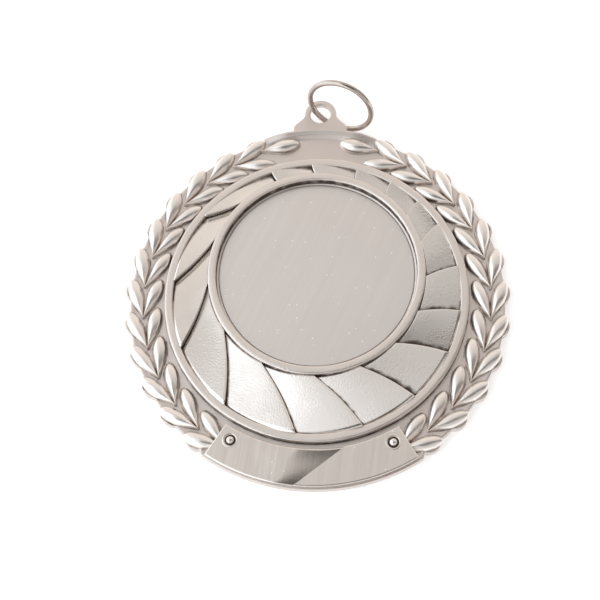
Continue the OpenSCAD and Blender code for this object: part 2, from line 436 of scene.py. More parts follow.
crest = BASE_T - 0.02 + (LIP_TOP - BASE_T) * lip
rows = []
for inset, z in LOWER_CORNER:
    rows.append(np.c_[edge - edge_normal * inset, np.full(AROUND, z)])
for inset, drop in UPPER_CORNER:
    rows.append(np.c_[edge - edge_normal * inset, crest - drop * (0.4 + 0.6 * lip)])
field_start = edge - edge_normal * UPPER_CORNER[-1][0]
field_end = clock(BORDER_OUT_R - 0.4, angles, BORDER_UP)
for i in range(1, FIELD_ROWS + 1):
    share = i / FIELD_ROWS
    flat = field_start + (field_end - field_start) * share
    floor_z = BASE_T - 0.09 - 0.06 * np.sin(np.pi * share)
    lip_z = (BASE_T + 0.48 - floor_z) * (1 - smooth(0.0, 0.15, share)) * lip
    rows.append(np.c_[flat, floor_z + lip_z])
rows.append(np.c_[recess_edge, np.full(AROUND, BASE_T - 0.02)])
rows.append(np.c_[seat_edge, np.full(AROUND, BASE_T - 0.02)])
rows.append(np.c_[seat_edge, np.full(AROUND, RECESS_FLOOR)])
faces = grid_faces(len(rows), AROUND, wrap=True)
points = np.concatenate([*rows, [[0, 0, 0], [0, RECESS_UP, RECESS_FLOOR]]])
last_row = (len(rows) - 1) * AROUND
centre_back, centre_floor = len(points) - 2, len(points) - 1
for j in range(AROUND):
    k = (j + 1) % AROUND
    faces.append((k, j, centre_back))
    faces.append((last_row + j, last_row + k, centre_floor))

# painted shade: the crevice value darkens the field round each leaf and at the foot of the
# border ring, but not under the plate
gap = leaf_gap(points[:, :2])
wall_gap = np.hypot(points[:, 0], points[:, 1] - BORDER_UP) - BORDER_OUT_R
foot = np.degrees(np.arctan2(np.abs(points[:, 0]), -points[:, 1])) < PLATE_HALF_ANGLE
gap = np.where(foot, 9.0, gap)
on_top = smooth(BASE_T - 0.35, BASE_T - 0.2, points[:, 2])
leaf_shade = 0.62 * np.exp(-((gap / 0.14) ** 2))
wall_shade = 0.6 * np.exp(-((wall_gap / 0.1) ** 2))
crevice = np.maximum(leaf_shade, wall_shade) * on_top
base = new_piece("cast_base", points, faces, crevice)
fit(base, blasted_silver, "medal", "medal_body")


# ---- Cast body: hanging loop ---------------------------------------------------------
# A flat tab cast with the body, and blasted like its field. It flares into the medal's
# upper edge, and tumbling has rounded its rim and the mouths of its hole.
HOLE_Y = 27.2
HOLE_R = 1.4
LOOP_R = 2.18
LOOP_UNDER = 1.2
LOOP_TOP = 2.06
FLARE = 1.5
ROOT_R = 24.4
ROOT_Y = 24.12
LOOP_AROUND = 240

def closed_faces(rows, columns):
    """Quads over a grid of points that closes on itself both ways."""
    faces = grid_faces(rows + 1, columns, wrap=True)
    return [tuple(v % (rows * columns) for v in face) for face in faces]


down = np.linspace(0, 1, 60)
flank_y = HOLE_Y + (ROOT_Y - HOLE_Y) * down
flank_x = LOOP_R + FLARE * smooth(0.0, 1.0, down / 0.72) ** 1.3
tip = np.radians(np.linspace(90, 0, 60, endpoint=False))
foot_x = np.linspace(flank_x[-1], 0, 20)[1:]
foot_y = np.sqrt(ROOT_R**2 - foot_x**2)
half_x = np.concatenate([LOOP_R * np.cos(tip), flank_x, foot_x])
half_y = np.concatenate([HOLE_Y + LOOP_R * np.sin(tip), flank_y, foot_y]) - HOLE_Y
bearing = np.degrees(np.arctan2(half_x, half_y))
around = np.arange(LOOP_AROUND) * 360.0 / LOOP_AROUND
turn = np.abs((around + 180) % 360 - 180)
reach = np.interp(turn, bearing, np.hypot(half_x, half_y))
direction = clock(1.0, around)
loop_centre = np.array([0, HOLE_Y])

profile = [
    ("hole", 0.0, LOOP_TOP - 0.14),
    ("hole", 0.03, LOOP_TOP - 0.06),
    ("hole", 0.09, LOOP_TOP - 0.01),
    ("hole", 0.14, LOOP_TOP),
    ("hole", 0.22, LOOP_TOP),
    ("edge", 0.34, LOOP_TOP),
    ("edge", 0.2, LOOP_TOP),
    ("edge", 0.12, LOOP_TOP - 0.01),
    ("edge", 0.04, LOOP_TOP - 0.06),
    ("edge", 0.0, LOOP_TOP - 0.16),
    ("edge", 0.0, LOOP_UNDER + 0.2),
    ("edge", 0.06, LOOP_UNDER + 0.06),
    ("edge", 0.16, LOOP_UNDER),
    ("edge", 0.3, LOOP_UNDER),
    ("hole", 0.22, LOOP_UNDER),
    ("hole", 0.1, LOOP_UNDER),
    ("hole", 0.03, LOOP_UNDER + 0.05),
    ("hole", 0.0, LOOP_UNDER + 0.14),
]
rows = []
for which, inset, z in profile:
    radius = HOLE_R + inset if which == "hole" else reach - inset
    flat = loop_centre + direction * np.asarray(radius).reshape(-1, 1)
    rows.append(np.c_[flat, np.full(LOOP_AROUND, z)])
faces = closed_faces(len(rows), LOOP_AROUND)
loop = new_piece("hanging_loop", np.concatenate(rows), faces)
fit(loop, blasted_silver, "medal", "medal_body")


# ---- Cast body: border ring and recess rim ---------------------------------------------
# Two raised rings of the casting, one inside the other and off centre. Handling has
# worn their plated shoulders round and left their inner edges crisp.
BORDER_TOP = 2.37
RIM_OUT_R = 14.2
RIM_TOP = 2.6


def lathe(name, profile, up, steps, shades=None):
    """A shape turned round (0, up): a ring, or a solid where its outline ends on the axis."""
    outline = np.array([q for q in profile if q[0] > 0], float)
    shade = np.zeros(len(outline)) if shades is None else np.array(shades, float)
    shade = np.repeat(shade, steps)
    degrees = np.arange(steps) * 360.0 / steps
    rows = [np.c_[clock(r, degrees, up), np.full(steps, z)] for r, z in outline]
    points = np.concatenate(rows)
    if len(outline) == len(profile):
        return new_piece(name, points, closed_faces(len(rows), steps), shade)
    faces = grid_faces(len(rows), steps, wrap=True)
    for row, z in ((0, profile[0][1]), (len(rows) - 1, profile[-1][1])):
        pole = len(points)
        points = np.vstack([points, [0, up, z]])
        for j in range(steps):
            faces.append((row * steps + j, row * steps + (j + 1) % steps, pole))
    return new_piece(name, points, faces, np.concatenate([shade, [0, 0]]))


# painted shade: the last list of each ring darkens its walls towards their feet, and the
# recess wall almost to its top
border = lathe(
    "border_ring",
    [
        (BORDER_IN_R, BASE_T - 0.25),
        (BORDER_IN_R, BORDER_TOP - 0.13),
        (BORDER_IN_R + 0.02, BORDER_TOP - 0.06),
        (BORDER_IN_R + 0.08, BORDER_TOP - 0.025),
        (BORDER_IN_R + 0.2, BORDER_TOP - 0.02),
        (BORDER_IN_R + 0.35, BORDER_TOP - 0.015),
        (BORDER_OUT_R - 0.5, BORDER_TOP),
        (BORDER_OUT_R - 0.3, BORDER_TOP),
        (BORDER_OUT_R - 0.18, BORDER_TOP - 0.025),
        (BORDER_OUT_R - 0.1, BORDER_TOP - 0.09),
        (BORDER_OUT_R - 0.03, BORDER_TOP - 0.25),
        (BORDER_OUT_R + 0.02, BORDER_TOP - 0.57),
        (BORDER_OUT_R + 0.04, BASE_T - 0.25),
    ],
    BORDER_UP,
    512,
    [1, 0.45, 0, 0, 0, 0, 0, 0, 0, 0, 0.2, 0.8, 1],
)
rim = lathe(
    "recess_rim",
    [
        (RECESS_R, BASE_T - 0.2),
        (RECESS_R, RIM_TOP - 0.3),
        (RECESS_R + 0.02, RIM_TOP - 0.15),
        (RECESS_R + 0.07, RIM_TOP - 0.06),
        (RECESS_R + 0.16, RIM_TOP - 0.02),
        (RECESS_R + 0.3, RIM_TOP - 0.01),
        (RECESS_R + 0.55, RIM_TOP),
        (RIM_OUT_R - 0.3, RIM_TOP - 0.01),
        (RIM_OUT_R - 0.16, RIM_TOP - 0.03),
        (RIM_OUT_R - 0.07, RIM_TOP - 0.09),
        (RIM_OUT_R - 0.02, RIM_TOP - 0.2),
        (RIM_OUT_R, RIM_TOP - 0.4),
        (RIM_OUT_R, BASE_T - 0.2),
    ],
    RECESS_UP,
    384,
    [0.95, 0.8, 0.25, 0, 0, 0, 0, 0, 0, 0, 0.25, 0.8, 1],
)
worn_silver = new_metal(
    "worn_silver",
    (0.78, 0.71, 0.66),
    roughness=0.36,
    smudges=0.16,
    scratches=0.5,
    grain=1.5,
    grain_scale=3600.0,
    crevices=1.0,
)
for ring in (border, rim):
    fit(ring, worn_silver, "medal", "medal_body")


# ---- Cast body: swirl ---------------------------------------------------------------
# Sixteen blades, cast with the body, lean on each other between the rim and the border
# ring. Each stands proud at its start and sinks under the next one, where shade is painted
# in.
BLADE_RIM = [-2, 20, 39, 56, 73, 93, 113, 134, 156, 180, 208, 235, 263, 289, 314, 337]
BLADE_BORDER = [-3, 16, 31, 45, 58, 78, 97, 115, 137, 160, 186, 216, 246, 275, 306, 340]
BLADE_BITE = 0.05
BLADE_START_Z = (2.34, 2.52)
BLADE_END_Z = (1.74, 1.66)
ACROSS = 26
OUTWARD = 18
BLADE_BOW = 0.035
BLADE_SUNK_MORE = {5: -0.14, 6: 0.16}
BLADE_SHADE_SHARE = {4: 0.09, 5: 0.14, 6: 0.2, 7: 0.13, 8: 0.06}
SHADE_SHARE = 0.022
BEVEL = ((0.0, 0.09), (0.006, 0.03), (0.016, 0.005), (0.03, 0.0))


def block(grid, floor_z):
    """Points and quads of a closed solid: a grid of top points, its skirt and its floor."""
    rows, columns = grid.shape[:2]
    top = grid.reshape(-1, 3)
    around = list(range(columns))
    around += [i * columns + columns - 1 for i in range(1, rows)]
    around += [(rows - 1) * columns + j for j in range(columns - 2, -1, -1)]
    around += [i * columns for i in range(rows - 2, 0, -1)]
    skirt = top[around] * (1, 1, 0) + (0, 0, floor_z)
    first = len(top)
    faces = grid_faces(rows, columns)
    for i, a in enumerate(around):
        k = (i + 1) % len(around)
        faces.append((a, around[k], first + k, first + i))
    faces.append(range(first, first + len(around)))
    return np.vstack([top, skirt]), faces


bevel = np.array(BEVEL)
shares = np.concatenate([bevel[:, 0], np.linspace(0.05, 1.0, ACROSS - len(bevel))])
drops = np.concatenate([bevel[:, 1], np.zeros(ACROSS - len(bevel))])
outwards = np.linspace(0, 1, OUTWARD)
all_points, all_faces, all_shade = [], [], []
for k in range(len(BLADE_RIM)):
    following = (k + 1) % len(BLADE_RIM)
    rim_sweep = (BLADE_RIM[following] - BLADE_RIM[k]) % 360
    border_sweep = (BLADE_BORDER[following] - BLADE_BORDER[k]) % 360
    rim_at = BLADE_RIM[k] + rim_sweep * shares
    inner = clock(RIM_OUT_R - BLADE_BITE, rim_at, RECESS_UP)
    border_at = BLADE_BORDER[k] + border_sweep * shares
    outer = clock(BORDER_IN_R + BLADE_BITE, border_at, BORDER_UP)
    run = outer - inner
    sideways = np.c_[run[:, 1], -run[:, 0]]
    top = []
    for v in outwards:
        flat = inner + run * v - sideways * BLADE_BOW * np.sin(np.pi * v)
        start_z = BLADE_START_Z[0] + (BLADE_START_Z[1] - BLADE_START_Z[0]) * v
        end_z = BLADE_END_Z[0] + (BLADE_END_Z[1] - BLADE_END_Z[0]) * v
        end_z = end_z - BLADE_SUNK_MORE.get(k, 0.0)
        z = start_z + (end_z - start_z) * shares**1.15 - drops
        top.append(np.c_[flat, z])
    points, faces = block(np.stack(top), BASE_T - 0.2)
    start = sum(len(p) for p in all_points)
    all_points.append(points)
    all_faces += [[v + start for v in f] for f in faces]
    # painted shade: each blade darkens towards its sunk end, over a wider band on blades 4 to
    # 8, along its inner edge by the rim, and on its sides and underside
    sunk = np.exp(-(((1 - shares) / BLADE_SHADE_SHARE.get(k, SHADE_SHARE)) ** 2))
    inside = np.exp(-((outwards / 0.02) ** 2)) * 0.8
    shade = np.maximum(inside[:, None], sunk[None, :]).ravel()
    all_shade.append(np.concatenate([shade, np.ones(len(points) - len(shade))]))
swirl = new_piece(
    "swirl_blades",
    np.concatenate(all_points),
    all_faces,
    np.concatenate(all_shade),
)
cast_silver = new_metal(
    "cast_silver",
    (0.80, 0.745, 0.70),
    roughness=0.23,
    smudges=0.14,
    scratches=0.2,
    grain=0.62,
    grain_scale=4200.0,
    crevices=1.0,
)
fit(swirl, cast_silver, "medal", "medal_body")


# ---- Cast body: laurel leaves ----------------------------------------------------------
# Two branches of twelve leaf pairs and an end leaf, cast with the body, stand up from
# the field. Each leaf is a ridged stalk that swells to a dome, tumbled bright.
LEAF_UNDER = 0.3
LEAF_ROWS = 40
LEAF_COLUMNS = 24
tumbled_silver = new_metal(
    "tumbled_silver",
    (0.86, 0.80, 0.755),
    roughness=0.33,
    smudges=0.1,
    scratches=0.1,
    grain=0.7,
    grain_scale=4200.0,
    crevices=1.0,
)

share = 1 - (1 - np.linspace(0, 1, LEAF_ROWS)) ** 1.7
share[-1] = 0.9985
half = leaf_half_width(share)
crest = 0.6 + 0.4 * smooth(0.0, 0.6, share)
round_off = np.sqrt((1 - ((share - 0.55).clip(0) / 0.45) ** 2.6).clip(0))
power = 1.65 + 0.6 * smooth(0.1, 0.6, share)
side = np.sin(np.linspace(-1, 1, LEAF_COLUMNS) * np.pi / 2)
x = np.repeat(share * LEAF_LENGTH, LEAF_COLUMNS)
y = np.outer(half, side).ravel()
dome = (1 - np.abs(side)[None, :] ** power[:, None]).clip(0) ** 0.58
z = ((crest * round_off)[:, None] * dome).ravel()
grid = np.c_[x, y, z].reshape(LEAF_ROWS, LEAF_COLUMNS, 3)
points, faces = block(grid, -LEAF_UNDER)
# painted shade: each leaf darkens towards its foot, where it meets the field
leaf_shade = np.exp(-((points[:, 2].clip(0) / 0.12) ** 2)) * 0.5
leaf = new_piece("laurel_leaf", points, faces, leaf_shade)

tree = bpy.data.node_groups.new("laurel_wreath", "GeometryNodeTree")
tree.interface.new_socket("Geometry", in_out="OUTPUT", socket_type="NodeSocketGeometry")
WREATH_INPUTS = {
    "Leaf": ("NodeSocketObject", leaf),
    "Metal": ("NodeSocketMaterial", tumbled_silver),
    "Leaf Pairs": ("NodeSocketInt", LEAF_PAIRS),
    "First Joint": ("NodeSocketFloat", math.radians(FIRST_JOINT)),
    "Joint Pitch": ("NodeSocketFloat", math.radians(JOINT_PITCH)),
    "Stem Radius": ("NodeSocketFloat", STEM_R * MM),
    "Outer Lean": ("NodeSocketFloat", math.radians(OUTER_LEAN)),
    "Inner Lean": ("NodeSocketFloat", math.radians(INNER_LEAN)),
    "End Lean": ("NodeSocketFloat", math.radians(END_LEAN)),
    "End Leaf Scale": ("NodeSocketFloat", END_LEAF_LENGTH / LEAF_LENGTH),
    "End Leaf Width": ("NodeSocketFloat", 1.1),
    "End Rise": ("NodeSocketFloat", END_RISE * MM),
    "Field Height": ("NodeSocketFloat", (BASE_T - 0.12) * MM),
    "Unevenness": ("NodeSocketFloat", 0.015),
}
for name, (kind, _) in WREATH_INPUTS.items():
    tree.interface.new_socket(name, in_out="INPUT", socket_type=kind)
inputs = tree.nodes.new("NodeGroupInput")


def field(operation, *values):
    """The output of a Math node of the wreath's tree."""
    return maths(tree, operation, *values)


def random_field(low, high, seed):
    """One fixed random number per leaf."""
    node = tree.nodes.new("FunctionNodeRandomValue")
    node.data_type = "FLOAT"
    node.inputs[2].default_value = low
    node.inputs[3].default_value = high
    node.inputs["Seed"].default_value = seed
    return node.outputs[1]


count = field("ADD", field("MULTIPLY", inputs.outputs["Leaf Pairs"], 2.0), 1.0)
line = tree.nodes.new("GeometryNodeMeshLine")
tree.links.new(count, line.inputs["Count"])
index = tree.nodes.new("GeometryNodeInputIndex").outputs[0]
joint_no = field("FLOOR", field("DIVIDE", index, 2.0))
inner_side = field("MODULO", index, 2.0)
joint = field(
    "SUBTRACT",
    inputs.outputs["First Joint"],
    field("MULTIPLY", joint_no, inputs.outputs["Joint Pitch"]),
)
is_end = field("COMPARE", joint_no, inputs.outputs["Leaf Pairs"], 0.1)
outer_turn = field("MULTIPLY", inputs.outputs["Outer Lean"], -1.0)
pair_turn = field(
    "ADD",
    field("MULTIPLY", field("SUBTRACT", 1.0, inner_side), outer_turn),
    field("MULTIPLY", inner_side, inputs.outputs["Inner Lean"]),
)
end_turn = field("MULTIPLY", inputs.outputs["End Lean"], -1.0)
turn_by = field(
    "ADD",
    field("MULTIPLY", field("SUBTRACT", 1.0, is_end), pair_turn),
    field("MULTIPLY", is_end, end_turn),
)
wobble = field("MULTIPLY", inputs.outputs["Unevenness"], random_field(-1.0, 1.0, 11))
heading = field("ADD", field("ADD", field("SUBTRACT", math.pi, joint), turn_by), wobble)
place = tree.nodes.new("ShaderNodeCombineXYZ")
end_rise = field("MULTIPLY", is_end, inputs.outputs["End Rise"])
stem = field("ADD", inputs.outputs["Stem Radius"], end_rise)
tree.links.new(field("MULTIPLY", stem, field("SINE", joint)), place.inputs[0])
tree.links.new(field("MULTIPLY", stem, field("COSINE", joint)), place.inputs[1])
tree.links.new(inputs.outputs["Field Height"], place.inputs[2])
moved = tree.nodes.new("GeometryNodeSetPosition")
tree.links.new(line.outputs["Mesh"], moved.inputs["Geometry"])
tree.links.new(place.outputs[0], moved.inputs["Position"])
turned = tree.nodes.new("ShaderNodeCombineXYZ")
tree.links.new(heading, turned.inputs[2])
shrink = field("SUBTRACT", 1.0, inputs.outputs["End Leaf Scale"])
length = field("SUBTRACT", 1.0, field("MULTIPLY", is_end, shrink))
widen = field("SUBTRACT", inputs.outputs["End Leaf Width"], 1.0)
width = field("ADD", 1.0, field("MULTIPLY", is_end, widen))
height = field(
    "SUBTRACT",
    1.0,
    field("MULTIPLY", inputs.outputs["Unevenness"], random_field(0.0, 2.0, 23)),
)
size = tree.nodes.new("ShaderNodeCombineXYZ")
tree.links.new(length, size.inputs[0])
tree.links.new(width, size.inputs[1])
tree.links.new(height, size.inputs[2])
info = tree.nodes.new("GeometryNodeObjectInfo")
tree.links.new(inputs.outputs["Leaf"], info.inputs["Object"])
planted = tree.nodes.new("GeometryNodeInstanceOnPoints")
tree.links.new(moved.outputs[0], planted.inputs["Points"])
tree.links.new(info.outputs["Geometry"], planted.inputs["Instance"])
tree.links.new(turned.outputs[0], planted.inputs["Rotation"])
tree.links.new(size.outputs[0], planted.inputs["Scale"])
branch = tree.nodes.new("GeometryNodeRealizeInstances")
tree.links.new(planted.outputs[0], branch.inputs[0])
mirrored = tree.nodes.new("GeometryNodeTransform")
mirrored.inputs["Scale"].default_value = (-1, 1, 1)
tree.links.new(branch.outputs[0], mirrored.inputs["Geometry"])
both = tree.nodes.new("GeometryNodeJoinGeometry")
tree.links.new(branch.outputs[0], both.inputs[0])
tree.links.new(mirrored.outputs[0], both.inputs[0])
coated = tree.nodes.new("GeometryNodeSetMaterial")
tree.links.new(both.outputs[0], coated.inputs["Geometry"])
tree.links.new(inputs.outputs["Metal"], coated.inputs["Material"])
output = tree.nodes.new("NodeGroupOutput")
tree.links.new(coated.outputs[0], output.inputs[0])

planting = bpy.data.objects.new("wreath_planting", bpy.data.meshes.new("planting"))
bpy.context.scene.collection.objects.link(planting)
modifier = planting.modifiers.new("laurel_wreath", "NODES")
modifier.node_group = tree
for item in tree.interface.items_tree:
    if item.in_out == "INPUT":
        modifier[item.identifier] = WREATH_INPUTS[item.name][1]
planting.update_tag()
bpy.context.view_layer.update()
shown = planting.evaluated_get(bpy.context.evaluated_depsgraph_get())
grown = bpy.data.meshes.new_from_object(shown)
grown.name = "laurel_wreath"
planting.modifiers.clear()
bpy.data.objects.remove(planting)
bpy.data.objects.remove(leaf)
face_outwards(grown)
wreath = bpy.data.objects.new("laurel_wreath", grown)
bpy.context.scene.collection.objects.link(wreath)
fit(wreath, tumbled_silver, "medal", "medal_body")


# ---- Centre disc -----------------------------------------------------------------------
# A thin disc of brushed sheet, pressed flat and stuck to the floor of the recess with a
# thin round of adhesive. It is what an emblem would be stuck to.
DISC_R = 12.82
DISC_UNDER = 1.1
DISC_TOP = 1.5

disc = lathe(
    "brushed_disc",
    [
        (0, DISC_UNDER),
        (DISC_R - 0.08, DISC_UNDER),
        (DISC_R, DISC_UNDER + 0.06),
        (DISC_R, DISC_TOP - 0.07),
        (DISC_R - 0.03, DISC_TOP - 0.02),
        (DISC_R - 0.1, DISC_TOP),
        (DISC_R - 0.2, DISC_TOP),
        (DISC_R * 0.5, DISC_TOP),
        (0, DISC_TOP),
    ],
    RECESS_UP,
    360,
)

# brushing: long streaks in one direction, at two widths
group, source, target = node_group(
    "brushed_grain",
    [("Vector", VECTOR), ("Scale", NUMBER)],
    [("Streak", NUMBER), ("Height", NUMBER)],
)
streaks = []
for seed, width in ((0.0, 1.0), (7.3, 0.31)):
    scaled = group.nodes.new("ShaderNodeVectorMath")
    scaled.operation = "SCALE"
    group.links.new(source.outputs["Vector"], scaled.inputs[0])
    size = maths(group, "MULTIPLY", source.outputs["Scale"], width)
    group.links.new(size, scaled.inputs["Scale"])
    drawn = group.nodes.new("ShaderNodeMapping")
    drawn.inputs["Location"].default_value = (seed, seed, 0)
    drawn.inputs["Scale"].default_value = (0.03, 1.0, 1.0)
    group.links.new(scaled.outputs[0], drawn.inputs["Vector"])
    texture = group.nodes.new("ShaderNodeTexNoise")
    texture.inputs["Scale"].default_value = 1.0
    texture.inputs["Detail"].default_value = 4.0
    group.links.new(drawn.outputs[0], texture.inputs["Vector"])
    streaks.append(texture.outputs["Fac"])
mixed = maths(group, "MULTIPLY", maths(group, "ADD", *streaks), 0.5)
group.links.new(ramp(group, mixed, 0.36, 0.64), target.inputs["Streak"])
group.links.new(mixed, target.inputs["Height"])
brushed_grain = group


def brushed_metal(name, colour, roughness, scale, direction, contrast, specks):
    """Sheet metal brushed along a direction, in degrees from X, with specks of dust and
    painted shade where the crevice attribute is set.
    """
    material, tree, shader, vector = new_finish(name)
    turned = tree.nodes.new("ShaderNodeMapping")
    turned.inputs["Rotation"].default_value = (0, 0, math.radians(-direction))
    tree.links.new(vector, turned.inputs["Vector"])
    grain = place_group(
        tree, brushed_grain, {"Vector": turned.outputs[0], "Scale": scale}
    )
    marks = place_group(
        tree,
        handling_marks,
        {"Vector": vector, "Roughness": roughness, "Smudges": 0.06, "Scratches": 0.15},
    )
    low = [c * (1 - contrast) for c in colour] + [1.0]
    high = [min(c * (1 + contrast), 1.0) for c in colour] + [1.0]
    tone = blend_colour(tree, grain.outputs["Streak"], low, high)
    cloud = ramp(tree, noise(tree, vector, 120.0, 2.0), 0.3, 0.7, 0.0, 0.5)
    tone = blend_colour(tree, cloud, tone, [c * 0.96 for c in colour] + [1.0])
    dots = tree.nodes.new("ShaderNodeTexVoronoi")
    dots.inputs["Scale"].default_value = 1300.0
    tree.links.new(vector, dots.inputs["Vector"])
    here = ramp(tree, dots.outputs["Distance"], 0.06, 0.16, 1.0, 0.0)
    lot = tree.nodes.new("ShaderNodeSeparateColor")
    tree.links.new(dots.outputs["Color"], lot.inputs["Color"])
    chosen = maths(tree, "GREATER_THAN", lot.outputs["Red"], 1.0 - specks)
    dust = maths(tree, "MULTIPLY", here, chosen)
    tone = blend_colour(tree, dust, tone, (1.0, 1.0, 1.0, 1.0))
    rough = maths(tree, "ADD", marks.outputs["Roughness"], maths(tree, "MULTIPLY", dust, 0.4))
    # painted shade: the crevice attribute darkens the colour
    attribute = tree.nodes.new("ShaderNodeAttribute")
    attribute.attribute_name = "crevice"
    corners = {"Vector": vector, "Color": tone, "Roughness": rough}
    shaded = place_group(tree, painted_shade, {**corners, "Crevice": attribute.outputs["Fac"]})
    link(tree, shaded.outputs["Color"], shader.inputs["Base Color"])
    link(tree, shaded.outputs["Roughness"], shader.inputs["Roughness"])
    link(tree, shaded.outputs["Metallic"], shader.inputs["Metallic"])
    height = maths(tree, "ADD", grain.outputs["Height"], marks.outputs["Height"])
    emboss(tree, shader, maths(tree, "ADD", height, dust), 0.012 * MM)
    return material


disc_metal = brushed_metal(
    "disc_metal",
    (0.765, 0.71, 0.675),
    roughness=0.4,
    scale=4200.0,
    direction=66.0,
    contrast=0.022,
    specks=0.36,
)
fit(disc, disc_metal, "medal", "centre_disc")


# ---- Adhesive --------------------------------------------------------------------------
# The round of cured glue between the disc and the recess floor. It stays as the CAD
# made it and only gets its finish: a slightly cloudy, matt amber white.
adhesive, tree, shader, vector = new_finish("adhesive")
clouds = noise(tree, vector, 400.0, 4.0)
tone = blend_colour(tree, clouds, (0.78, 0.74, 0.62, 1.0), (0.88, 0.86, 0.80, 1.0))
link(tree, tone, shader.inputs["Base Color"])
link(tree, ramp(tree, clouds, 0.3, 0.7, 0.45, 0.65), shader.inputs["Roughness"])
emboss(tree, shader, noise(tree, vector, 1500.0, 3.0), 0.02 * MM)
adhesive_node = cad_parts["disc_adhesive"]
adhesive_node.data.materials.clear()
adhesive_node.data.materials.append(adhesive)


# ---- Engraving plate -------------------------------------------------------------------
# An arc of brushed sheet laid across the foot of the medal on a raised seat. It has a
# diagonal fold, and a sunk dimple round each of the two pins that hold it down.
PLATE_IN_R = 20.0
PLATE_OUT_R = 24.65
PLATE_UNDER = 1.9
PLATE_TOP = 2.4
FOLD_TOP = (4.2, -19.6)
FOLD_FOOT = (-1.1, -23.8)
FOLD_DIP = 0.43
FOLD_RISE = 0.02
FOLD_RUN = 3.3
FOLD_BULGE = 0.1
PIN_R = 21.5
PIN_ANGLE = 27.8
DIMPLE_R = 0.77
DIMPLE_DEPTH = 0.2

fold_line = np.subtract(FOLD_TOP, FOLD_FOOT) / math.dist(FOLD_TOP, FOLD_FOOT)
fold_across = np.array([fold_line[1], -fold_line[0]])
edge_steps = np.array([0.0, 0.03, 0.08, 0.15])
radii = np.concatenate(
    [
        PLATE_IN_R + edge_steps,
        np.linspace(PLATE_IN_R + 0.2, PLATE_OUT_R - 0.2, 84),
        PLATE_OUT_R - edge_steps[::-1],
    ]
)
degree_steps = np.degrees(edge_steps / PLATE_OUT_R)
rows, shades = [], []
for radius in radii:
    from_foot = float(np.dot(FOLD_FOOT, fold_line))
    to_foot = radius**2 - float(np.dot(FOLD_FOOT, FOLD_FOOT))
    fold_point = FOLD_FOOT - fold_line * (from_foot + math.sqrt(from_foot**2 + to_foot))
    fold_at = math.degrees(math.atan2(fold_point[0], -fold_point[1]))
    left = np.linspace(-PLATE_HALF_ANGLE + 0.5, fold_at, 220)
    right = np.linspace(fold_at, PLATE_HALF_ANGLE - 0.5, 200)
    ends = -PLATE_HALF_ANGLE + degree_steps, PLATE_HALF_ANGLE - degree_steps[::-1]
    degrees = np.concatenate([ends[0], left, right, ends[1]])
    flat = clock(radius, 180 - degrees)
    off_fold = np.abs((flat - FOLD_FOOT) @ fold_across)
    is_right = np.arange(len(degrees)) >= len(degree_steps) + len(left)
    foot_fade = 1 - 0.5 * smooth(PLATE_IN_R + 0.4, PLATE_OUT_R - 0.25, radius)
    share = off_fold / (FOLD_RUN * foot_fade)
    fading = (1 - share).clip(0) ** 1.3
    bulge = FOLD_BULGE * np.minimum(share, 1) * (1 - smooth(1.0, 2.4, share))
    fold = np.where(is_right, FOLD_RISE * fading, bulge - FOLD_DIP * fading)
    z = PLATE_TOP + fold * foot_fade
    dimple_shadow = np.zeros(len(z))
    for side in (-1, 1):
        pin_at = clock(PIN_R, 180 - side * PIN_ANGLE)
        away = np.hypot(*(flat - pin_at).T)
        z = z - DIMPLE_DEPTH * (1 - smooth(DIMPLE_R - 0.17, DIMPLE_R, away))
        z = z + 0.02 * np.exp(-(((away - DIMPLE_R - 0.08) / 0.08) ** 2))
        # painted shadow: darkens the floor and inner wall of each dimple
        dimple_shadow = dimple_shadow + 1 - smooth(DIMPLE_R - 0.14, DIMPLE_R - 0.02, away)
    inward = np.minimum(radius - PLATE_IN_R, PLATE_OUT_R - radius)
    endways = np.radians(PLATE_HALF_ANGLE - np.abs(degrees)) * radius
    margin = np.minimum(inward, endways)
    z = z - 0.1 * (1 - smooth(-0.02, 0.13, margin))
    rows.append(np.c_[flat, z])
    shades.append(dimple_shadow)
points, faces = block(np.stack(rows), PLATE_UNDER)
shade = np.concatenate(shades)
shade = np.concatenate([shade, np.zeros(len(points) - len(shade))])
plate = new_piece("engraving_plate_face", points, faces, shade)
plate_metal = brushed_metal(
    "plate_metal",
    (0.79, 0.73, 0.68),
    roughness=0.2,
    scale=2600.0,
    direction=83.0,
    contrast=0.05,
    specks=0.15,
)
fit(plate, plate_metal, "medal", "engraving_plate")


# ---- Pins ------------------------------------------------------------------------------
# Two polished drive pins with ball heads hold the plate down. Their shanks are pressed
# through the plate into blind holes in the casting, and the heads stand in the dimples.
SHANK_R = 0.3
SHANK_FOOT = 0.7
HEAD_R = 0.5
HEAD_Z = 2.3
SEAT_Z = 2.2

seat_angle = math.degrees(math.asin((SEAT_Z - HEAD_Z) / HEAD_R))
head = [
    (HEAD_R * math.cos(math.radians(a)), HEAD_Z + HEAD_R * math.sin(math.radians(a)))
    for a in np.linspace(seat_angle, 84, 22)
]
shank = [(SHANK_R * 0.6, SHANK_FOOT), (SHANK_R, SHANK_FOOT + 0.15), (SHANK_R, SEAT_Z)]
pin_metal = new_metal(
    "pin_metal",
    (0.84, 0.79, 0.75),
    roughness=0.16,
    smudges=0.08,
    scratches=0.4,
    grain=0.3,
    grain_scale=2400.0,
    crevices=0.0,
)
for side, node in ((-1, "left_pin"), (1, "right_pin")):
    pin = lathe(
        node + "_ball",
        [(0, SHANK_FOOT), *shank, *head, (0, HEAD_Z + HEAD_R - 0.002)],
        0.0,
        64,
    )
    at = clock(PIN_R, 180 - side * PIN_ANGLE) * MM
    pin.data.transform(Matrix.Translation((at[0], at[1], 0)))
    fit(pin, pin_metal, "medal", node)


# ---- Jump ring -------------------------------------------------------------------------
# A ring of round steel wire, closed until its cut ends almost meet. It is threaded
# through the loop's hole, and turns in it.
RING_R = 4.35
WIRE_R = 0.4
RING_HEADING = -108.1
RING_LEAN = 10.5
SPLIT_AT = -94.0
SPLIT_GAP = 0.1
RING_STEPS = 360
WIRE_STEPS = 32

